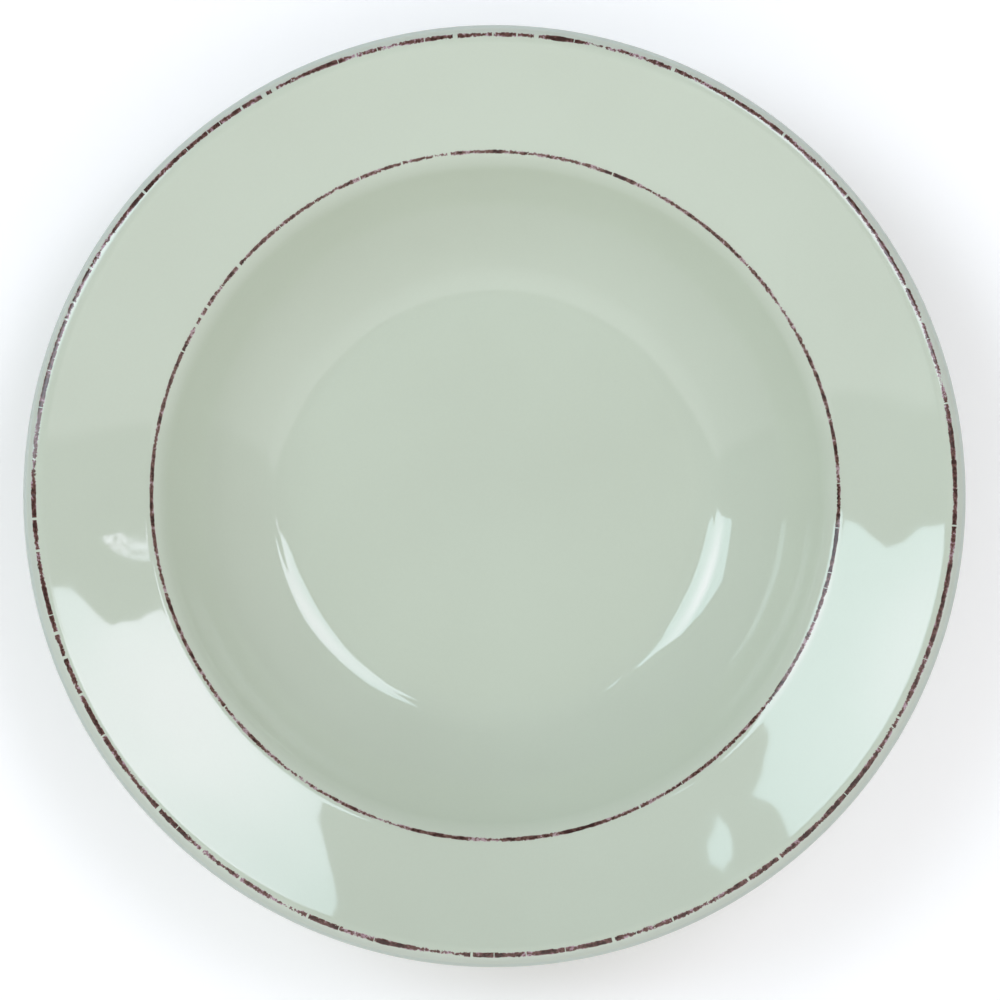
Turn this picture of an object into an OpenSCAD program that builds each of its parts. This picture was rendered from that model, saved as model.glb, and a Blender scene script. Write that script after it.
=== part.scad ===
// Wide-rimmed melamine soup bowl, built up in the layers that are pressed together in its die:
// a coloured body, a decor foil, two worn printed lines and a clear glaze over them.
// The origin is the centre of the bowl on the surface that it stands on, +Z up.
// Every layer follows one section path, which starts at the centre of the floor and runs outwards.

/* [Bowl] */
// Diameter over the lip
bowl_d = 230; // [200:1:260]
// Diameter of the well's mouth, where the rim starts
well_d = 172; // [160:1:184]
// Diameter of the flat floor
floor_d = 99; // [84:1:112]
// Thickness of the floor, wall and rim, with foil and glaze
wall_t = 3; // [2.4:0.1:3.6]

/* [Well] */
// Radius that turns the floor up into the wall
turn_up_r = 18; // [14:1:26]
// Slope where that turn ends and the wall starts, in degrees
turn_up_a = 30; // [26:1:34]
// Steepest slope of the wall, in degrees
wall_a = 54; // [48:1:60]
// Radius that rolls the wall over into the rim
mouth_r = 11.5; // [9:0.5:18]

/* [Rim] */
// Slope of the rim beside the well, in degrees
rim_inner_a = 17.5; // [14:0.5:20]
// Slope of the rim beside the lip, in degrees
rim_outer_a = 22.5; // [20.5:0.5:26]
// Radius inside the rolled lip, under the wall
lip_bend_r = 0.8; // [0.4:0.1:2]
// Straight drop of the lip below its roll
lip_drop = 1.2; // [0.4:0.1:3]

/* [Foot ring] */
// Height of the foot ring below the floor
foot_h = 4; // [3:0.1:6]
// How far the standing face reaches out past the floor's edge
foot_out = 4; // [3:0.1:6]
// Width of the standing face
foot_w = 1.8; // [1.2:0.1:2.6]
// Draft of the ring's flanks, in degrees
foot_draft_a = 10; // [4:1:16]
// Radius of the ring's standing edges
foot_edge_r = 0.9; // [0.5:0.1:1.1]
// Radius of the fillets at the ring's root
foot_root_r = 1.6; // [1:0.1:1.8]

/* [Layers] */
// Thickness of the decor foil
foil_t = 0.15; // [0.1:0.05:0.3]
// Thickness of the clear glaze
glaze_t = 0.4; // [0.3:0.05:0.5]
// Thickness of the printed ink
ink_t = 0.15; // [0.08:0.01:0.2]
// How far down the outside of the lip the foil and glaze reach, in degrees
cover_a = 48; // [40:1:60]

/* [Printed lines] */
// Width of the line on the lip
rim_line_w = 1.1; // [0.6:0.1:1.4]
// Place of the line down the outside of the lip, in degrees
rim_line_a = 15; // [10:1:24]
// Dashes in the line on the lip
rim_line_dashes = 84; // [24:1:96]
// Width of the line in the well's mouth
well_line_w = 0.95; // [0.5:0.05:1.2]
// How far inside the well's mouth its line runs
well_line_in = 1.8; // [1.2:0.1:4]
// Dashes in the line in the well's mouth
well_line_dashes = 56; // [16:1:72]

/* [Hidden] */
$fn = 180;

// Colours
body_colour = [0.74, 0.79, 0.73];
foil_colour = [0.76, 0.80, 0.74];
ink_colour = [0.27, 0.15, 0.12];
glaze_colour = [0.90, 0.95, 0.92, 0.25];

// Angles of a quarter, a half and a whole turn
quarter_a = 90;
half_a = 2 * quarter_a;
whole_a = 2 * half_a;
// Largest turn between two points of a rounded stretch
arc_step_a = 3;
// Cuts run this far past what they cut
overrun = 0.05;
// Where each line's wear starts to be drawn from
rim_wear_seed = 21;
well_wear_seed = 34;
// Least and greatest share of its pitch that one dash keeps
dash_shares = [0.72, 0.97];
// Share of the pitch by which a dash strays from its place
stray_share = 0.03;

// Half sizes and the layers' depths below the face
bowl_r = bowl_d / 2;
well_r = well_d / 2;
floor_r = floor_d / 2;
floor_z = foot_h + wall_t;
foil_depth = glaze_t;
core_depth = glaze_t + foil_t;
ink_depth = glaze_t - ink_t;

// Radius of the well wall, between the turn up from the floor and the roll into the rim
wall_start_r = floor_r + turn_up_r * sin(turn_up_a);
wall_end_r = well_r - mouth_r * (sin(wall_a) - sin(rim_inner_a));
wall_r = (wall_end_r - wall_start_r) / (sin(wall_a) - sin(turn_up_a));
// Radius of the dished rim, between the well's mouth and the lip
lip_r = lip_bend_r + wall_t;
lip_start_r = bowl_r - lip_r * (1 + sin(rim_outer_a));
rim_r = (lip_start_r - well_r) / (sin(rim_outer_a) - sin(rim_inner_a));

// The face as stretches, each [length or radius, turn]: a turn of 0 is straight, up is positive
FLOOR = [floor_r, 0];
TURN_UP = [turn_up_r, turn_up_a];
WALL = [wall_r, wall_a - turn_up_a];
MOUTH = [mouth_r, rim_inner_a - wall_a];
RIM = [rim_r, rim_outer_a - rim_inner_a];
LIP_TOP = [lip_r, -rim_outer_a - cover_a];
LIP_SIDE = [lip_r, cover_a - quarter_a];
LIP_DROP = [lip_drop, 0];
covered_face = [FLOOR, TURN_UP, WALL, MOUTH, RIM, LIP_TOP];
floor_centre = [0, floor_z];

// Direction of travel, and the direction square to it that points out of the face
function along(heading) = [cos(heading), sin(heading)];
function outward(heading) = [-sin(heading), cos(heading)];

// Centre of a turning stretch that starts at point p
function turn_centre(p, heading, stretch) = p + sign(stretch[1]) * stretch[0] * outward(heading);

// Where a stretch ends on the face
function stretch_end(p, heading, stretch) =
    stretch[1] == 0
    ? p + stretch[0] * along(heading)
    : turn_centre(p, heading, stretch)
        - sign(stretch[1]) * stretch[0] * outward(heading + stretch[1]);

// Points of one stretch, moved to a depth below the face
function stretch_points(p, heading, stretch, depth) =
    stretch[1] == 0
    ? [for (length = [0, stretch[0]]) p + length * along(heading) - depth * outward(heading)]
    : let (
        centre = turn_centre(p, heading, stretch),
        reach = sign(stretch[1]) * stretch[0] + depth,
        steps = ceil(abs(stretch[1]) / arc_step_a)
    )
    [for (i = [0:steps]) centre - reach * outward(heading + stretch[1] * i / steps)];

// Points of a whole path, moved to a depth below the face; each joint is kept once
function path_points(p, heading, path, depth = 0, i = 0) =
    i == len(path)
    ? []
    : let (
        points = stretch_points(p, heading, path[i], depth),
        kept = i == 0 ? points : [for (k = [1:len(points) - 1]) points[k]]
    )
    concat(kept, path_points(
        stretch_end(p, heading, path[i]), heading + path[i][1], path, depth, i + 1));

// Where a whole path ends on the face
function path_end(p, heading, path, i = 0) =
    i == len(path)
    ? p
    : path_end(stretch_end(p, heading, path[i]), heading + path[i][1], path, i + 1);

function reversed(points) = [for (i = [len(points) - 1:-1:0]) points[i]];

// Landmarks on the face
turn_up_centre = floor_centre + [floor_r, turn_up_r];
mouth_start = path_end(floor_centre, 0, [FLOOR, TURN_UP, WALL]);
mouth_centre = turn_centre(mouth_start, wall_a, MOUTH);
rim_end = path_end(mouth_start, wall_a, [MOUTH, RIM]);
lip_centre = turn_centre(rim_end, rim_outer_a, LIP_TOP);
cover_end = path_end(rim_end, rim_outer_a, [LIP_TOP]);
lip_end = path_end(cover_end, -cover_a, [LIP_SIDE, LIP_DROP]);

// Foot ring: its outer flank leans out until its fillet meets the underside of the turn up
flank_a = quarter_a - foot_draft_a;
foot_flat = [foot_w, 0];
foot_corner = [foot_edge_r, flank_a];
foot_root = [foot_root_r, -flank_a];
inner_flank_h = foot_h - (foot_edge_r + foot_root_r) * (1 - cos(flank_a));
inner_flank = [inner_flank_h / sin(flank_a), 0];
standing_end = [floor_r + foot_out, 0];
standing_start = standing_end - [foot_w, 0];
// The outer root fillet's centre lies on a line along the flank, at its reach from the turn's centre
outer_flank_start = path_end(standing_end, 0, [foot_corner]);
root_line = outer_flank_start - foot_root_r * outward(flank_a) - turn_up_centre;
root_reach = turn_up_r + wall_t + foot_root_r;
root_along = root_line * along(flank_a);
root_rise = -root_along - sqrt(root_along ^ 2 - root_line * root_line + root_reach ^ 2);
outer_flank = [root_rise, 0];
outer_root_x = root_line.x + root_rise * cos(flank_a);
root_a = asin(outer_root_x / root_reach);
outer_root = [foot_root_r, root_a - flank_a];
turn_up_past_root = [turn_up_r, turn_up_a - root_a];

// Foot ring outline from the ceiling inside it, down, across and up to the turn
ring_start = standing_start - [
    foot_root_r * sin(flank_a) + inner_flank.x * cos(flank_a) + foot_edge_r * sin(flank_a),
    -foot_h
];
ring_outline = path_points(ring_start, 0, [
    foot_root, inner_flank, foot_corner, foot_flat, foot_corner, outer_flank, outer_root
]);

// Underside from the foot ring's root out to the lip
underside = path_points(
    turn_up_centre - turn_up_r * outward(root_a), root_a,
    [turn_up_past_root, WALL, MOUTH, RIM, LIP_TOP, LIP_SIDE, LIP_DROP], wall_t);

// Rounded lower edge of the lip, from its outside to its inside
lip_edge = path_points(lip_end, -quarter_a, [[wall_t / 2, -half_a]]);

// Section of a layer between two depths below the covered face
module layer_section(top, bottom) {
    polygon(concat(
        path_points(floor_centre, 0, covered_face, top),
        reversed(path_points(floor_centre, 0, covered_face, bottom))));
}

// Section of the body: covered face, bare lip, underside and foot ring
module body_section() {
    polygon(concat(
        path_points(floor_centre, 0, covered_face, core_depth),
        path_points(cover_end, -cover_a, [LIP_SIDE, LIP_DROP]),
        [for (i = [1:len(lip_edge) - 2]) lip_edge[i]],
        reversed(underside),
        reversed([for (i = [0:len(ring_outline) - 2]) ring_outline[i]]),
        [[0, foot_h]]));
}

// Band of a printed line that is centred on a rounded stretch at one heading
module line_section(centre, radius, heading, width, bottom) {
    band_a = width / radius * half_a / PI;
    first = heading + band_a / 2;
    start = centre + radius * outward(first);
    polygon(concat(
        path_points(start, first, [[radius, -band_a]], ink_depth),
        reversed(path_points(start, first, [[radius, -band_a]], bottom))));
}

module rim_line_section(bottom = foil_depth) {
    line_section(lip_centre, lip_r, -rim_line_a, rim_line_w, bottom);
}

module well_line_section(bottom = foil_depth) {
    heading = asin((mouth_centre.x - well_r + well_line_in) / mouth_r);
    line_section(mouth_centre, mouth_r, heading, well_line_w, bottom);
}

// A ring of worn dashes: each keeps a drawn share of its pitch and strays a little from its place
module worn_ring(dashes, seed) {
    pitch_a = whole_a / dashes;
    keeps = rands(dash_shares[0], dash_shares[1], dashes, seed);
    strays = rands(-stray_share, stray_share, dashes, seed + 1);
    for (i = [0:dashes - 1])
        rotate([0, 0, (i + strays[i]) * pitch_a])
            rotate_extrude(angle = keeps[i] * (1 - 2 * stray_share) * pitch_a)
                children();
}

module body() {
    color(body_colour)
        rotate_extrude()
            body_section();
}

module decor_foil() {
    color(foil_colour)
        rotate_extrude()
            layer_section(foil_depth, core_depth);
}

// The glaze closes over both lines, so its underside has a channel for each
module clear_glaze() {
    color(glaze_colour)
        rotate_extrude()
            difference() {
                layer_section(0, foil_depth);
                rim_line_section(foil_depth + overrun);
                well_line_section(foil_depth + overrun);
            }
}

module rim_line() {
    color(ink_colour)
        worn_ring(rim_line_dashes, rim_wear_seed)
            rim_line_section();
}

module well_line() {
    color(ink_colour)
        worn_ring(well_line_dashes, well_wear_seed)
            well_line_section();
}

body();
decor_foil();
clear_glaze();
rim_line();
well_line();
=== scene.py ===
"""A wide-rimmed sage melamine soup bowl, dressed round its packed construction in a plain studio.

The bowl is turned from one section, as in its construction: a glazed face, the moulded body under it,
and two worn printed lines. Lengths are in metres, +Z is up and the bowl stands on the origin.
"""

from math import asin, ceil, cos, pi, radians, sin, sqrt

import bpy
from mathutils import Matrix, Vector


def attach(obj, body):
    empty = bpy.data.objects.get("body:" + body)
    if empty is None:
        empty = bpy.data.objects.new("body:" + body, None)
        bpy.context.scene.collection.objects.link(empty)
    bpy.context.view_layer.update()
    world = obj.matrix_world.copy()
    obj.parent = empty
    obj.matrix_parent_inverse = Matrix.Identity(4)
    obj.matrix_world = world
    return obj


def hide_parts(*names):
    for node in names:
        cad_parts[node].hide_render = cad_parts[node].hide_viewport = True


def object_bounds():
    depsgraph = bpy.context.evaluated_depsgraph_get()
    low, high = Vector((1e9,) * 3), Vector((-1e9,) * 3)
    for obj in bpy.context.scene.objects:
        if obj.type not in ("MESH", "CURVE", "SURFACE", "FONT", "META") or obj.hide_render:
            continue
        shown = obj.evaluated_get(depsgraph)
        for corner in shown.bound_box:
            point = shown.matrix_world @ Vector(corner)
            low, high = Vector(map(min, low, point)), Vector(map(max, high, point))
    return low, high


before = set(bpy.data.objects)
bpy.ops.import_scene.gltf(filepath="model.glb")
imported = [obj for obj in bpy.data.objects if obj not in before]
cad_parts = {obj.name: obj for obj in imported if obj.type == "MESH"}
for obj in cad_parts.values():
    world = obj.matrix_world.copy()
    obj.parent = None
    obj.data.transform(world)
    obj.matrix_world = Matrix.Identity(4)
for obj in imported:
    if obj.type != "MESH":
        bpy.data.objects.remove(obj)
cad_low, cad_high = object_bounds()

MM = 0.001

# Section of the bowl, with the sizes that its construction has
BOWL_RADIUS = cad_high.x
FOOT_HEIGHT = 4 * MM
WALL = 3 * MM
SKIN = 0.55 * MM
FLOOR_RADIUS = 49.5 * MM
TURN_UP_RADIUS = 18 * MM
TURN_UP_SLOPE = radians(30)
WALL_SLOPE = radians(54)
MOUTH_RADIUS = 11.5 * MM
WELL_RADIUS = 86 * MM
RIM_INNER_SLOPE = radians(17.5)
RIM_OUTER_SLOPE = radians(22.5)
LIP_RADIUS = 3.8 * MM
LIP_DROP = 1.2 * MM
COVER_ANGLE = radians(48)
FOOT_RADIUS = 53.5 * MM
FOOT_FLAT = 1.8 * MM
FOOT_DRAFT = radians(10)
FOOT_EDGE = 0.9 * MM
FOOT_ROOT = 1.6 * MM

# How finely the section's rounded stretches and its turn about the axis are drawn
FACE_STEP = radians(1)
BACK_STEP = radians(4)
TURN_STEPS = 384
SHARP_EDGE = radians(35)

# Printed lines: the foil that carries them lay a little off centre in the die, and went wavy in it.
# Each line has two, three and four waves to a turn, and each of these crests at an azimuth of its own.
RIM_LINE_SLOPE = radians(-15)
RIM_LINE_WIDTH = 1.22 * MM
RIM_LINE_SHIFT = 0.45 * MM
RIM_LINE_CRESTS = {"second_crest": radians(-37), "third_crest": radians(33), "fourth_crest": radians(-31)}
WELL_LINE_INSIDE = 1.8 * MM
WELL_LINE_WIDTH = 1.02 * MM
WELL_LINE_SHIFT = 0.21 * MM
WELL_LINE_CRESTS = {"second_crest": radians(-56), "third_crest": radians(5), "fourth_crest": radians(4)}
PRINT_WAVE = 0.17 * MM
WAVES_IN_A_TURN = {"Second Crest": 2.0, "Third Crest": 3.0, "Fourth Crest": 4.0}
INK_PROUD = 0.012 * MM
INK_BEDDED = 0.03 * MM
WELD = 0.001 * MM

# How the print wore. Its fray's sizes are shares of the ring's radius, and edges wear sooner.
BROAD_FRAY = 0.16
BROAD_FRAY_SIZE = 0.03
FINE_FRAY = 0.2
FINE_FRAY_SIZE = 0.011
GRAIN_SIZE = 0.7 * MM
RUBBED_SIZE = 11 * MM
EDGE_WEAR = 0.14

# Surfaces: refractive indices, the die's waviness and orange peel, the band near the bowl's edge
# where painted shade greys the face over the lip, and the band where the moulding was trimmed
MELAMINE_INDEX = 1.65
RIM_INK_INDEX = 1.5
WELL_INK_INDEX = 1.4
DIE_WAVE = 0.09 * MM
DIE_WAVE_SIZE = 28 * MM
ORANGE_PEEL = 0.0006 * MM
ORANGE_PEEL_SIZE = 3 * MM
# Painted shade over the lip: where it starts, and where it is full
LIP_SHADE_START = BOWL_RADIUS - 3.4 * MM
LIP_SHADE_END = BOWL_RADIUS - 1.8 * MM
TRIM_START = BOWL_RADIUS - 0.4 * MM
TRIM_END = BOWL_RADIUS - 0.1 * MM

# The floor, which the camera sees a little brighter than the bowl does
FLOOR_REACH = 4.0
FLOOR_STEPS = 96
FLOOR_WHITE = (0.95, 0.92, 0.89, 1.0)
FLOOR_LIFT = 0.15
WHITE = (1.0, 1.0, 1.0, 1.0)

# Studio panels overhead, as their corners seen from below, and their colours where cool and hot
PANEL_HEIGHT = 2.5
KEY_PANEL = [
    (0.58, 0.28), (1.2, 0.27), (1.33, 0.29), (1.34, 0.44), (1.42, 0.53), (1.55, 0.57), (1.66, 0.53),
    (1.75, 0.45), (1.88, 0.41), (1.93, 1.3), (1.2, 1.85), (0.65, 1.88), (0.7, 1.3), (0.45, 1.25),
    (0.52, 1.07), (0.573, 0.992), (0.56, 0.717), (0.532, 0.514), (0.551, 0.344),
]
SECOND_PANEL = [
    (-1.1, 0.17), (-0.88, 0.55), (-0.99, 0.84), (-1.12, 0.98), (-1.1, 1.18), (-1.04, 1.3),
    (-1.14, 1.364), (-1.17, 1.394), (-1.233, 1.485), (-1.35, 1.448), (-1.47, 1.45),
    (-2.6, 2.0), (-3.5, 2.1), (-4.2, 1.6), (-4.1, 0.45), (-2.5, 0.25), (-1.98, 0.15),
    (-1.82, 0.155), (-1.74, 0.18), (-1.67, 0.23), (-1.59, 0.25), (-1.5, 0.19), (-1.43, 0.16),
]
KEY_GAP = [(1.41, 0.23), (1.5, 0.19), (1.6, 0.2), (1.58, 0.25), (1.49, 0.31), (1.39, 0.33), (1.35, 0.28)]
SECOND_GAP = [
    (-0.92, 1.33), (-0.97, 1.4), (-1.0, 1.5), (-1.02, 1.62), (-0.98, 1.68), (-0.92, 1.62), (-0.9, 1.5),
]
PANEL_COOL = (0.70, 0.91, 1.0, 1.0)
PANEL_HOT = (1.0, 0.95, 1.12, 1.0)

# The room: its own light, and what its pale near wall, the wall's upper part and its right side add
ROOM_LEVEL = 0.365
WALL_LEVEL = 0.31
UPPER_WALL_LEVEL = 0.39
SIDE_LEVEL = 0.3
WALL_EDGE = 0.015
ROOM_COLOUR = (0.955, 0.975, 1.0, 1.0)

# The photograph's view, from almost straight above
PICTURE = 1000
BOWL_RADIUS_IN_PICTURE = 471.2
BOWL_LEFT_OF_CENTRE = 5.5
BOWL_ABOVE_CENTRE = 4.6
CAMERA_TILT = radians(1)
CAMERA_DISTANCE = 1.2
CAMERA_RANGE = (0.05, 20)
SENSOR = 36


class Socket:
    """A node's output that Python's operators work on: they add Math nodes."""

    def __init__(self, tree, output):
        self.tree = tree
        self.output = output

    def __add__(self, other):
        return self.tree.maths("ADD", self, other)

    def __radd__(self, other):
        return self.tree.maths("ADD", other, self)

    def __sub__(self, other):
        return self.tree.maths("SUBTRACT", self, other)

    def __rsub__(self, other):
        return self.tree.maths("SUBTRACT", other, self)

    def __mul__(self, other):
        return self.tree.maths("MULTIPLY", self, other)

    def __rmul__(self, other):
        return self.tree.maths("MULTIPLY", other, self)

    def __truediv__(self, other):
        return self.tree.maths("DIVIDE", self, other)

    def __neg__(self):
        return self.tree.maths("MULTIPLY", self, -1)

    def __lt__(self, other):
        return self.tree.maths("LESS_THAN", self, other)

    def __gt__(self, other):
        return self.tree.maths("GREATER_THAN", self, other)


class Tree:
    """A shader or geometry node tree, written as expressions."""

    def __init__(self, node_tree):
        self.node_tree = node_tree

    def node(self, kind, sockets=None, output=0, **settings):
        """Adds a node, gives it its settings and then its values or links, and returns an output."""
        added = self.node_tree.nodes.new(kind)
        for name, setting in settings.items():
            setattr(added, name, setting)
        for key, value in (sockets or {}).items():
            self.feed(added.inputs[key], value)
        return Socket(self, added.outputs[output])

    def existing(self, kind):
        """The node of a kind that the tree came with."""
        return next(n for n in self.node_tree.nodes if n.type == kind)

    def feed(self, entry, value):
        """Links a socket to an input, or sets the input's own value."""
        if isinstance(value, Socket):
            self.node_tree.links.new(value.output, entry)
        else:
            entry.default_value = value

    def maths(self, operation, first, second=0.0):
        return self.node("ShaderNodeMath", {0: first, 1: second}, operation=operation)

    def sine(self, angle):
        return self.maths("SINE", angle)

    def cosine(self, angle):
        return self.maths("COSINE", angle)

    def distance(self, x, y):
        """How far level offsets x and y reach."""
        return self.maths("SQRT", x * x + y * y)

    def point(self, x, y, z):
        return self.node("ShaderNodeCombineXYZ", {"X": x, "Y": y, "Z": z})

    def parts(self, vector):
        """A vector's three numbers."""
        split = self.node("ShaderNodeSeparateXYZ", {"Vector": vector}).output.node
        return [Socket(self, output) for output in split.outputs]

    def eased(self, value, low, high):
        """Rises smoothly from 0 to 1 as value goes from low to high."""
        return self.node(
            "ShaderNodeMapRange",
            {"Value": value, "From Min": low, "From Max": high},
            interpolation_type="SMOOTHSTEP",
        )

    def blended(self, share, first, second):
        """A colour that goes from first to second with share."""
        colours = {0: share, 6: first, 7: second}
        return self.node("ShaderNodeMix", colours, output=2, data_type="RGBA")

    def noise(self, place, size, detail=2.0, roughness=0.5):
        """Soft noise between 0 and 1 whose bumps are about size across."""
        settings = {"Vector": place, "Scale": 1 / size, "Detail": detail, "Roughness": roughness}
        return self.node("ShaderNodeTexNoise", settings)

    def swing(self, place, size, detail=1.0):
        """Soft noise from about -1 to 1."""
        return (self.noise(place, size, detail) - 0.5) * 3.0


def linear(red, green, blue):
    """A colour read from a picture, 0 to 255, as the linear colour that a shader takes."""

    def channel(level):
        share = level / 255
        return share / 12.92 if share <= 0.04045 else ((share + 0.055) / 1.055) ** 2.4

    return (channel(red), channel(green), channel(blue), 1.0)


# Colours, as the levels that they have in a picture
FACE_SHADES = [linear(196, 203, 183), linear(199.5, 207, 187)]
# Painted shade: the face's colour out over the lip
LIP_PAINTED_SHADE = linear(193, 199, 184)
MOULDING_SHADES = [linear(184, 192, 180), linear(190, 199, 187)]
RUBBED_FOOT = linear(205, 209, 201)
RIM_INK_SHADES = [linear(58, 32, 26), linear(104, 70, 62), linear(176, 146, 154)]
WELL_INK_SHADES = [linear(56, 32, 28), linear(110, 80, 70), linear(176, 150, 152)]


# The section's path


def along(heading):
    return Vector((cos(heading), sin(heading)))


def outward(heading):
    return Vector((-sin(heading), cos(heading)))


def turn_centre(place, heading, stretch):
    """Centre of a turning stretch, a pair of radius and turn, that starts at place."""
    radius, turn = stretch
    return place + (radius if turn > 0 else -radius) * outward(heading)


def walk(place, heading, path, depth=0.0, step=BACK_STEP):
    """Points along a path of stretches, each a pair of length or radius and turn, at a depth below it."""
    points = [place - depth * outward(heading)]
    for size, turn in path:
        if turn == 0:
            place = place + size * along(heading)
            points.append(place - depth * outward(heading))
            continue
        centre = turn_centre(place, heading, (size, turn))
        radius = size if turn > 0 else -size
        steps = ceil(abs(turn) / step)
        for i in range(1, steps + 1):
            points.append(centre - (radius + depth) * outward(heading + turn * i / steps))
        heading = heading + turn
        place = centre - radius * outward(heading)
    return points


class Section:
    """The bowl's section: the stretches of its face and the landmarks between them."""

    def __init__(self):
        wall_start = FLOOR_RADIUS + TURN_UP_RADIUS * sin(TURN_UP_SLOPE)
        wall_end = WELL_RADIUS - MOUTH_RADIUS * (sin(WALL_SLOPE) - sin(RIM_INNER_SLOPE))
        wall_radius = (wall_end - wall_start) / (sin(WALL_SLOPE) - sin(TURN_UP_SLOPE))
        lip_start = BOWL_RADIUS - LIP_RADIUS * (1 + sin(RIM_OUTER_SLOPE))
        rim_radius = (lip_start - WELL_RADIUS) / (sin(RIM_OUTER_SLOPE) - sin(RIM_INNER_SLOPE))
        self.floor = (FLOOR_RADIUS, 0)
        self.turn_up = (TURN_UP_RADIUS, TURN_UP_SLOPE)
        self.wall = (wall_radius, WALL_SLOPE - TURN_UP_SLOPE)
        self.mouth = (MOUTH_RADIUS, RIM_INNER_SLOPE - WALL_SLOPE)
        self.rim = (rim_radius, RIM_OUTER_SLOPE - RIM_INNER_SLOPE)
        self.lip_top = (LIP_RADIUS, -RIM_OUTER_SLOPE - COVER_ANGLE)
        self.lip_side = (LIP_RADIUS, COVER_ANGLE - pi / 2)
        self.lip_drop = (LIP_DROP, 0)
        self.centre = Vector((0, FOOT_HEIGHT + WALL))
        well = [self.floor, self.turn_up, self.wall]
        self.face = well + [self.mouth, self.rim, self.lip_top]
        self.turn_up_centre = self.centre + Vector((FLOOR_RADIUS, TURN_UP_RADIUS))
        mouth_start = walk(self.centre, 0, well)[-1]
        self.mouth_centre = turn_centre(mouth_start, WALL_SLOPE, self.mouth)
        rim_end = walk(mouth_start, WALL_SLOPE, [self.mouth, self.rim])[-1]
        self.lip_centre = turn_centre(rim_end, RIM_OUTER_SLOPE, self.lip_top)
        self.cover_end = walk(rim_end, RIM_OUTER_SLOPE, [self.lip_top])[-1]
        self.lip_end = walk(self.cover_end, -COVER_ANGLE, [self.lip_side, self.lip_drop])[-1]

    def skin_outline(self):
        """The glazed face from the centre out over its top, and back along its underside."""
        top = walk(self.centre, 0, self.face, step=FACE_STEP)
        under = walk(self.centre, 0, self.face, SKIN)
        return top + under[::-1]

    def body_outline(self):
        """The moulded body: the bed of the face, the bare lip, the underside and the foot ring."""
        bed = walk(self.centre, 0, self.face, SKIN)
        lip = walk(self.cover_end, -COVER_ANGLE, [self.lip_side, self.lip_drop])
        edge = walk(self.lip_end, -pi / 2, [(WALL / 2, -pi)])
        ring, ring_slope = self.foot_outline()
        underside = walk(
            self.turn_up_centre - TURN_UP_RADIUS * outward(ring_slope),
            ring_slope,
            [(TURN_UP_RADIUS, TURN_UP_SLOPE - ring_slope), self.wall, self.mouth, self.rim]
            + [self.lip_top, self.lip_side, self.lip_drop],
            WALL,
        )
        return bed + lip + edge[1:-1] + underside[::-1] + ring[-2::-1] + [Vector((0, FOOT_HEIGHT))]

    def foot_outline(self):
        """The foot ring from the ceiling inside it out to the underside, and the slope there."""
        flank = pi / 2 - FOOT_DRAFT
        inner_height = FOOT_HEIGHT - (FOOT_EDGE + FOOT_ROOT) * (1 - cos(flank))
        inner_length = inner_height / sin(flank)
        width = (FOOT_ROOT + FOOT_EDGE) * sin(flank) + inner_length * cos(flank)
        start = Vector((FOOT_RADIUS - FOOT_FLAT - width, FOOT_HEIGHT))
        path = [(FOOT_ROOT, -flank), (inner_length, 0), (FOOT_EDGE, flank), (FOOT_FLAT, 0)]
        path.append((FOOT_EDGE, flank))
        outer_flank_start = walk(start, 0, path)[-1]
        # The outer root's fillet touches both the flank and the underside of the turn up
        away = outer_flank_start - FOOT_ROOT * outward(flank) - self.turn_up_centre
        reach = TURN_UP_RADIUS + WALL + FOOT_ROOT
        nearest = away.dot(along(flank))
        length = -nearest - sqrt(nearest**2 - away.length_squared + reach**2)
        slope = asin((away + length * along(flank)).x / reach)
        path += [(length, 0), (FOOT_ROOT, slope - flank)]
        return walk(start, 0, path), slope


section = Section()


# Pieces


def placed(name, content):
    """A new object of the scene, at the origin and unturned, that holds a mesh or a camera."""
    thing = bpy.data.objects.new(name, content)
    bpy.context.scene.collection.objects.link(thing)
    return thing


def baked(name, tree, values, start=None):
    """A plain mesh piece made by a geometry node tree, whose inputs get these values by name."""
    base = placed(name + ".base", start or bpy.data.meshes.new(name + ".base"))
    modifier = base.modifiers.new("make", "NODES")
    modifier.node_group = tree
    for entry in tree.interface.items_tree:
        if entry.in_out == "INPUT" and entry.name in values:
            modifier[entry.identifier] = values[entry.name]
    base.update_tag()
    evaluated = base.evaluated_get(bpy.context.evaluated_depsgraph_get())
    mesh = bpy.data.meshes.new_from_object(evaluated)
    mesh.name = name
    bpy.data.objects.remove(base)
    mesh.set_sharp_from_angle(angle=SHARP_EDGE)
    return placed(name, mesh)


def node_group(name, numbers, counts, *others):
    """A geometry node tree with named inputs, others first: the tree, its wrapper and its inputs."""
    tree = bpy.data.node_groups.new(name, "GeometryNodeTree")
    kinds = [(n, "NodeSocketFloat") for n in numbers] + [(n, "NodeSocketInt") for n in counts]
    for entry, kind in list(others) + kinds:
        tree.interface.new_socket(entry, in_out="INPUT", socket_type=kind)
    tree.interface.new_socket("Geometry", in_out="OUTPUT", socket_type="NodeSocketGeometry")
    wrapped = Tree(tree)
    inputs = tree.nodes.new("NodeGroupInput")
    return tree, wrapped, {o.name: Socket(wrapped, o) for o in inputs.outputs if o.name}


def ended(tree, t, geometry, ink):
    """Ends a geometry tree: realized, painted and handed out."""
    solid = t.node("GeometryNodeRealizeInstances", {"Geometry": geometry})
    painted = t.node("GeometryNodeSetMaterial", {"Geometry": solid, "Material": ink})
    out = tree.nodes.new("NodeGroupOutput")
    t.feed(out.inputs[0], painted)


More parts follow.
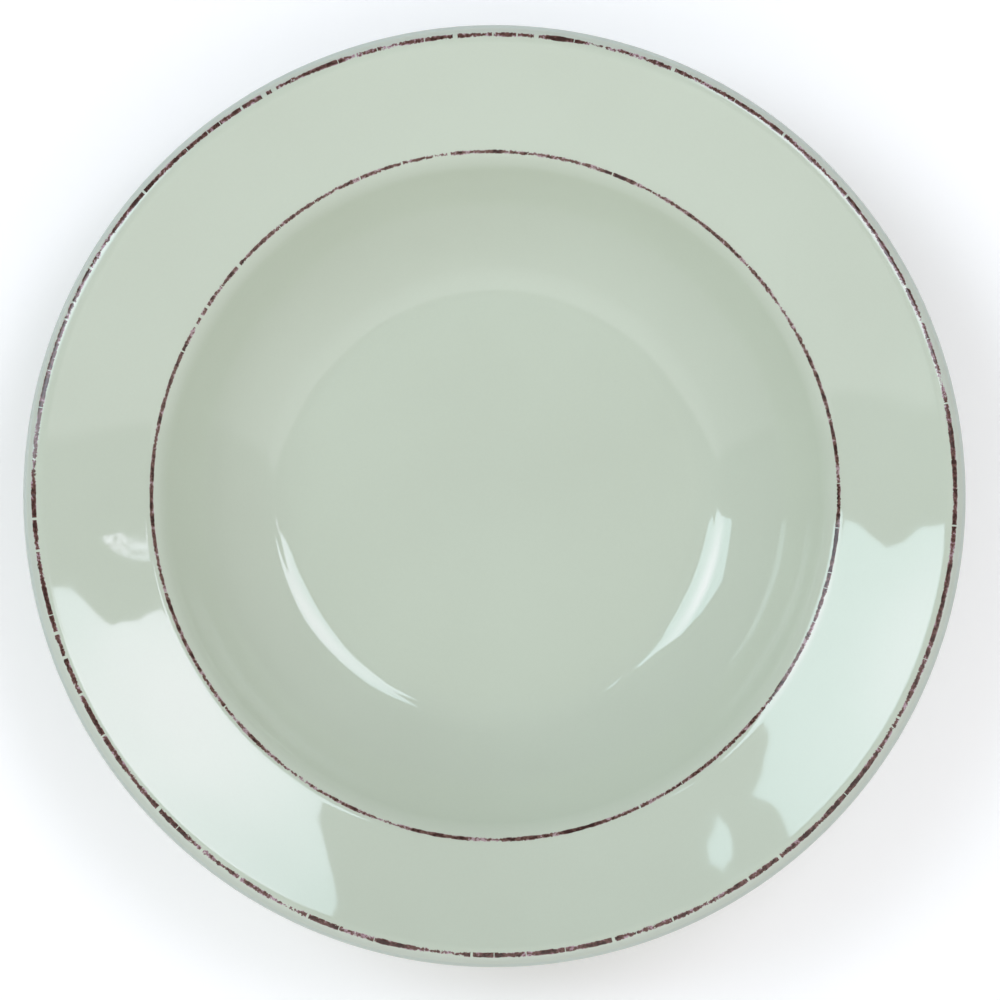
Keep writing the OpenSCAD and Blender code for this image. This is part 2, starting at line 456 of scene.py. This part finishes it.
def turning_tree():
    """Geometry nodes that turn an outline, given as a row of points, about the bowl's axis."""
    tree, t, given = node_group(
        "turned about the axis",
        ["Weld"],
        ["Points", "Steps"],
        ("Outline", "NodeSocketGeometry"),
        ("Material", "NodeSocketMaterial"),
    )
    sizes = {"Vertices X": given["Steps"] + 1, "Vertices Y": given["Points"]}
    sheet = t.node("GeometryNodeMeshGrid", sizes)
    number = t.node("GeometryNodeInputIndex")
    turn = t.maths("FLOOR", (number + 0.5) / given["Points"])
    row = number - turn * given["Points"]
    place = t.node("GeometryNodeInputPosition")
    outline = t.node(
        "GeometryNodeSampleIndex",
        {"Geometry": given["Outline"], "Value": place, "Index": row},
        data_type="FLOAT_VECTOR",
    )
    radius, _, height = t.parts(outline)
    angle = turn * (2 * pi) / given["Steps"]
    there = t.point(radius * t.cosine(angle), radius * t.sine(angle), height)
    turned = t.node("GeometryNodeSetPosition", {"Geometry": sheet, "Position": there})
    closed = t.node("GeometryNodeMergeByDistance", {"Geometry": turned, "Distance": given["Weld"]})
    smooth = t.node("GeometryNodeSetShadeSmooth", {"Geometry": closed})
    ended(tree, t, smooth, given["Material"])
    return tree


def turned(name, outline, finish):
    """A solid turned from an outline that starts and ends on the axis."""
    row = bpy.data.meshes.new(name + ".outline")
    row.from_pydata([(point.x, 0, point.y) for point in outline], [], [])
    values = {"Weld": WELD, "Points": len(outline), "Steps": TURN_STEPS, "Material": finish}
    return baked(name, turning_tree(), values, row)


def worn_line_tree():
    """Geometry nodes that print a worn line round the bowl, on a rounded shoulder of its face.

    A fine sheet is bent round the shoulder, wavy and with its edges frayed, gaps and chips fall out
    of it, and what is left gets its thickness. Each spot keeps its wear, for the ink's colour.
    """
    shoulder = ["Ring Radius", "Shoulder Height", "Shoulder Radius"]
    lengths = ["Width", "Shift", "Wave", "Proud", "Bedded", "Dash", "Weld"]
    angles = ["Slope", *WAVES_IN_A_TURN]
    tree, t, given = node_group(
        "worn printed line",
        shoulder + lengths + angles + ["Gap Share", "Wear"],
        ["Around", "Across", "Seed"],
        ("Material", "NodeSocketMaterial"),
    )
    counts = {"Vertices X": given["Around"] + 1, "Vertices Y": given["Across"] + 1}
    sheet = t.node("GeometryNodeMeshGrid", {"Size X": 1.0, "Size Y": 1.0, **counts})
    share_around, share_across, _ = t.parts(t.node("GeometryNodeInputPosition"))
    azimuth = share_around * (2 * pi)
    # Noise read off a circle closes on itself round the bowl
    on_circle = t.point(t.cosine(azimuth), t.sine(azimuth), given["Seed"] * 1.7)
    frayed = 1.0 + BROAD_FRAY * t.swing(on_circle, BROAD_FRAY_SIZE)
    frayed = frayed + FINE_FRAY * t.swing(on_circle, FINE_FRAY_SIZE)
    width = given["Width"] * frayed
    waves = [t.cosine(count * (azimuth - given[crest])) for crest, count in WAVES_IN_A_TURN.items()]
    wave = waves[0] + waves[1] + waves[2]
    inward = share_across * width - wave * given["Wave"] - t.sine(azimuth) * given["Shift"]
    slope = given["Slope"] + inward / given["Shoulder Radius"]

    def raised(height):
        """Place of each spot of the sheet, at a height over the face."""
        radius = given["Shoulder Radius"] + height
        reach = given["Ring Radius"] - radius * t.sine(slope)
        rise = given["Shoulder Height"] + radius * t.cosine(slope)
        return t.point(reach * t.cosine(azimuth), reach * t.sine(azimuth), rise)

    # A dash ends at a gap of its own length, and most gaps are short
    dash = azimuth * given["Ring Radius"] / given["Dash"] + 0.8 * t.swing(on_circle, 0.09)
    number = t.maths("FLOOR", dash)
    chance = t.node(
        "ShaderNodeTexWhiteNoise", {"W": number + given["Seed"] * 17.0}, noise_dimensions="1D"
    )
    in_gap = dash - number < t.maths("POWER", chance, 3.0) * 4.0 * given["Gap Share"]

    # Chips fall where grain and rubbed patches meet, sooner at the edges
    place = raised(0.0)
    grain = t.noise(place, GRAIN_SIZE, 3.0, 0.65)
    rubbed = t.noise(place, RUBBED_SIZE, 2.0)
    edge = 4.0 * share_across * share_across
    wear = 0.5 * grain + 0.5 * rubbed + EDGE_WEAR * edge
    kept = t.node(
        "GeometryNodeStoreNamedAttribute",
        {"Geometry": sheet, "Name": "wear", "Value": wear},
        data_type="FLOAT",
        domain="POINT",
    )
    lost = t.maths("MAXIMUM", in_gap, wear > given["Wear"])
    printed = t.node(
        "GeometryNodeDeleteGeometry", {"Geometry": kept, "Selection": lost}, domain="FACE"
    )
    lowered = raised(-given["Bedded"])
    bottom = t.node("GeometryNodeSetPosition", {"Geometry": printed, "Position": lowered})
    thickness = given["Proud"] + given["Bedded"]
    raised_top = t.node(
        "GeometryNodeExtrudeMesh",
        {"Mesh": bottom, "Offset Scale": thickness, "Individual": False},
        mode="FACES",
    )
    back = t.node("GeometryNodeFlipFaces", {"Mesh": bottom})
    joined = t.node_tree.nodes.new("GeometryNodeJoinGeometry")
    for part in (raised_top, back):
        t.node_tree.links.new(part.output, joined.inputs[0])
    both = Socket(t, joined.outputs[0])
    closed = t.node("GeometryNodeMergeByDistance", {"Geometry": both, "Distance": given["Weld"]})
    smooth = t.node("GeometryNodeSetShadeSmooth", {"Geometry": closed})
    ended(tree, t, smooth, given["Material"])
    return tree


def worn_line(name, centre, shoulder, finish, **values):
    """A worn printed line on a shoulder of the face, with the tree's other values by name."""
    settings = {
        "Ring Radius": centre.x,
        "Shoulder Height": centre.y,
        "Shoulder Radius": shoulder,
        "Proud": INK_PROUD,
        "Bedded": INK_BEDDED,
        "Wave": PRINT_WAVE,
        "Weld": WELD,
        "Material": finish,
    }
    settings.update({key.replace("_", " ").title(): value for key, value in values.items()})
    return baked(name, worn_line_tree(), settings)


# Finishes


def finish(name):
    """A new material with a Principled shader. Returns the material, its wrapper and the shader."""
    material = bpy.data.materials.new(name)
    material.use_nodes = True
    t = Tree(material.node_tree)
    return material, t, t.existing("BSDF_PRINCIPLED")


def bumped(t, shader, height):
    """Gives a surface this relief, in metres, in its shading alone."""
    bump = t.node("ShaderNodeBump", {"Strength": 1.0, "Distance": 1.0, "Height": height})
    t.feed(shader.inputs["Normal"], bump)


def surfaced(t, shader, surface):
    """Puts another surface in the place of a material's Principled shader."""
    t.feed(t.existing("OUTPUT_MATERIAL").inputs["Surface"], surface)
    t.node_tree.nodes.remove(shader)


def own_place(t):
    """Each spot's place on the bowl, in metres."""
    return t.node("ShaderNodeTexCoord", output="Object")


def gloss(t, shader, place, index=MELAMINE_INDEX):
    """Clear pressed melamine: a polished die's gloss, with a slow waviness and a faint orange peel."""
    sleek = 0.03 + 0.015 * t.noise(place, 25 * MM)
    t.feed(shader.inputs["Roughness"], sleek)
    t.feed(shader.inputs["IOR"], index)
    waves = DIE_WAVE * t.swing(place, DIE_WAVE_SIZE) + ORANGE_PEEL * t.swing(place, ORANGE_PEEL_SIZE)
    bumped(t, shader, waves)


def sage_face():
    """The glazed sage face: an even colour with faint clouds and fine fibres, and painted shade that
    greys it over the lip.
    """
    material, t, shader = finish("sage foil under glaze")
    place = own_place(t)
    x, y, _ = t.parts(place)
    clouds = t.noise(place, 60 * MM, 3.0)
    fibres = t.noise(place, 0.6 * MM, 2.0, 0.7)
    tone = t.eased(0.75 * clouds + 0.25 * fibres, 0.3, 0.7)
    colour = t.blended(tone, *FACE_SHADES)
    # Painted shade: the face is greyed out over the lip's outer slope, which the light reaches less
    lip_shade = t.eased(t.distance(x, y), LIP_SHADE_START, LIP_SHADE_END)
    colour = t.blended(lip_shade, colour, LIP_PAINTED_SHADE)
    t.feed(shader.inputs["Base Color"], colour)
    gloss(t, shader, place)
    return material


def sage_moulding():
    """The bare moulding on the lip and underside: satin where the die wasn't polished, rubbed feet."""
    material, t, shader = finish("moulded sage melamine")
    place = own_place(t)
    x, y, z = t.parts(place)
    radius = t.distance(x, y)
    clouds = t.noise(place, 40 * MM, 3.0)
    specks = t.noise(place, 0.9 * MM, 2.0, 0.7)
    tone = t.eased(0.7 * clouds + 0.3 * specks, 0.3, 0.7)
    colour = t.blended(tone, *MOULDING_SHADES)
    # The foot's standing face is rubbed pale and matt, and the trimmed edge of the lip is satin
    foot = 1.0 - t.eased(z, 0.05 * MM, 0.6 * MM)
    scuffs = t.noise(place, 2.5 * MM, 4.0, 0.7)
    rubbed = foot * t.eased(scuffs, 0.3, 0.6)
    colour = t.blended(0.5 * rubbed, colour, RUBBED_FOOT)
    t.feed(shader.inputs["Base Color"], colour)
    rings = t.noise(t.point(radius, z, 0.0), 0.45 * MM, 3.0, 0.6)
    trimmed = t.eased(radius, TRIM_START, TRIM_END)
    rough = 0.14 + 0.07 * rings + 0.08 * t.noise(place, 18 * MM) + 0.15 * trimmed + 0.4 * rubbed
    t.feed(shader.inputs["Roughness"], rough)
    t.feed(shader.inputs["IOR"], MELAMINE_INDEX)
    height = 0.0015 * MM * rings + 0.01 * MM * t.swing(place, 30 * MM) - 0.004 * MM * rubbed * scuffs
    bumped(t, shader, height)
    return material


def line_ink(name, dark, brown, faded, index):
    """Worn ink under the glaze: dark where it is thick, brown and then mauve where it thins out."""
    material, t, shader = finish(name)
    place = own_place(t)
    wear = t.node("ShaderNodeAttribute", output="Fac", attribute_name="wear")
    blotch = t.noise(place, 2.2 * MM, 3.0, 0.6)
    speck = t.noise(place, 0.5 * MM, 2.0)
    thin = wear + 0.7 * (blotch - 0.5) + 0.3 * (speck - 0.5)
    colour = t.blended(t.eased(thin, 0.40, 0.56), dark, brown)
    colour = t.blended(t.eased(thin, 0.56, 0.68), colour, faded)
    t.feed(shader.inputs["Base Color"], colour)
    gloss(t, shader, place, index)
    return material


# Studio


def floor():
    """A white floor that keeps the shadow, looked through from below and open under the foot ring."""
    mesh = bpy.data.meshes.new("floor")
    turns = [2 * pi * i / FLOOR_STEPS for i in range(FLOOR_STEPS)]
    corners = [(r * cos(turn), r * sin(turn), 0) for r in (FOOT_RADIUS, FLOOR_REACH) for turn in turns]
    faces = []
    for i in range(FLOOR_STEPS):
        after = (i + 1) % FLOOR_STEPS
        faces.append((i, FLOOR_STEPS + i, FLOOR_STEPS + after, after))
    mesh.from_pydata(corners, [], faces)
    ground = placed("floor", mesh)
    material, t, shader = finish("white floor")
    seen = t.node("ShaderNodeLightPath", output="Is Camera Ray")
    white = t.node("ShaderNodeBsdfDiffuse", {"Color": FLOOR_WHITE})
    lift = t.node("ShaderNodeEmission", {"Color": WHITE, "Strength": FLOOR_LIFT * seen})
    lit = t.node("ShaderNodeAddShader", {0: white, 1: lift})
    clear = t.node("ShaderNodeBsdfTransparent")
    below = t.node("ShaderNodeNewGeometry", output="Backfacing")
    one_sided = t.node("ShaderNodeMixShader", {0: below * seen, 1: lit, 2: clear})
    surfaced(t, shader, one_sided)
    mesh.materials.append(material)


def panel(name, corners, middle, reach, radiance, mottle=0.0):
    """A glowing panel overhead, hot at its middle and cooler out to reach, and mottled by this share."""
    mesh = bpy.data.meshes.new(name)
    mesh.from_pydata([(x, y, PANEL_HEIGHT) for x, y in corners], [], [range(len(corners))])
    lamp = placed(name, mesh)
    lamp.visible_camera = False
    material, t, shader = finish(name)
    place = own_place(t)
    x, y, _ = t.parts(place)
    away = t.distance(x - middle[0], y - middle[1])
    hot = 1.0 - t.eased(away, 0.0, reach)
    colour = t.blended(hot, PANEL_COOL, PANEL_HOT)
    patchy = 1.0 - mottle * t.eased(t.noise(place, 0.05, 3.0, 0.7), 0.4, 0.62)
    glow = {"Color": colour, "Strength": radiance * (0.75 + 0.4 * hot) * patchy}
    surfaced(t, shader, t.node("ShaderNodeEmission", glow))
    mesh.materials.append(material)


def surroundings():
    """A dim room, pale at its near wall and its right side, and white where the camera sees it."""
    world = bpy.data.worlds.new("studio")
    bpy.context.scene.world = world
    world.use_nodes = True
    t = Tree(world.node_tree)
    x, y, z = t.parts(t.node("ShaderNodeTexCoord", output="Generated"))
    # The wall is what lies nearer than both of these edges, which run out and away from the middle
    top = t.maths("MAXIMUM", 0.21 * x, -0.12 * x) - 0.228 * z
    low = 0.116 * z - 0.25 * t.maths("ABSOLUTE", x)
    wall = t.eased(t.maths("MINIMUM", top, low) - y, -WALL_EDGE, WALL_EDGE)
    wall = wall * (WALL_LEVEL + UPPER_WALL_LEVEL * t.eased(z, cos(radians(75)), cos(radians(40))))
    side = t.eased(x, 0.35, 0.95) * t.eased(z, 0.1, 0.35)
    level = ROOM_LEVEL + wall + SIDE_LEVEL * side
    seen = t.node("ShaderNodeLightPath", output="Is Camera Ray")
    background = t.existing("BACKGROUND")
    t.feed(background.inputs["Strength"], level * (1.0 - seen) + seen)
    t.feed(background.inputs["Color"], ROOM_COLOUR)


def photographer():
    """A camera where the photograph was taken, almost straight above and a little off centre."""
    camera = bpy.data.cameras.new("camera")
    camera.sensor_width = SENSOR
    metres_a_pixel = BOWL_RADIUS / BOWL_RADIUS_IN_PICTURE
    camera.lens = SENSOR * CAMERA_DISTANCE / (metres_a_pixel * PICTURE)
    camera.clip_start, camera.clip_end = CAMERA_RANGE
    stand = placed("camera", camera)
    back = Vector((0, -sin(CAMERA_TILT), cos(CAMERA_TILT)))
    up = Vector((0, cos(CAMERA_TILT), sin(CAMERA_TILT)))
    aim = Vector((0, 0, section.lip_centre.y)) + BOWL_LEFT_OF_CENTRE * metres_a_pixel * Vector((1, 0, 0))
    aim = aim - BOWL_ABOVE_CENTRE * metres_a_pixel * up
    turn = Matrix((Vector((1, 0, 0)), up, back)).transposed().to_4x4()
    stand.matrix_world = Matrix.Translation(aim + back * CAMERA_DISTANCE) @ turn
    bpy.context.scene.camera = stand


def dress():
    """Makes the pieces, stands them in for their nodes and hands them to the one body."""
    rim_ink = line_ink("rim ink", *RIM_INK_SHADES, RIM_INK_INDEX)
    well_ink = line_ink("well ink", *WELL_INK_SHADES, WELL_INK_INDEX)
    mouth = section.mouth_centre
    well_slope = asin((mouth.x - WELL_RADIUS + WELL_LINE_INSIDE) / MOUTH_RADIUS)
    face = turned("glazed_face", section.skin_outline(), sage_face())
    body = turned("moulded_body", section.body_outline(), sage_moulding())
    rim_line = worn_line(
        "rim_line_print",
        section.lip_centre,
        LIP_RADIUS,
        rim_ink,
        slope=RIM_LINE_SLOPE,
        width=RIM_LINE_WIDTH,
        shift=RIM_LINE_SHIFT,
        dash=7 * MM,
        gap_share=0.05,
        wear=0.62,
        around=3600,
        across=8,
        seed=3,
        **RIM_LINE_CRESTS,
    )
    well_line = worn_line(
        "well_line_print",
        mouth,
        MOUTH_RADIUS,
        well_ink,
        slope=well_slope,
        width=WELL_LINE_WIDTH,
        shift=WELL_LINE_SHIFT,
        dash=11 * MM,
        gap_share=0.03,
        wear=0.64,
        around=3200,
        across=7,
        seed=8,
        **WELL_LINE_CRESTS,
    )
    parts = [
        (face, "sage_foil", ["decor_foil", "clear_glaze"]),
        (body, "moulded_melamine", ["body"]),
        (rim_line, "rim_ink", ["rim_line"]),
        (well_line, "well_ink", ["well_line"]),
    ]
    for piece, slot, nodes in parts:
        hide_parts(*nodes)
        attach(piece, "root")


dress()
floor()
panel("key", KEY_PANEL, (1.3, 0.9), 1.3, 4.65)
panel("second", SECOND_PANEL, (-2.3, 1.0), 1.3, 5.2)
panel("gap beside key", KEY_GAP, (1.5, 0.24), 0.3, 4.8, mottle=0.8)
panel("gap beside second", SECOND_GAP, (-2.3, 1.0), 1.0, 4.8)
surroundings()
photographer()
bpy.context.scene.view_settings.view_transform = "Standard"
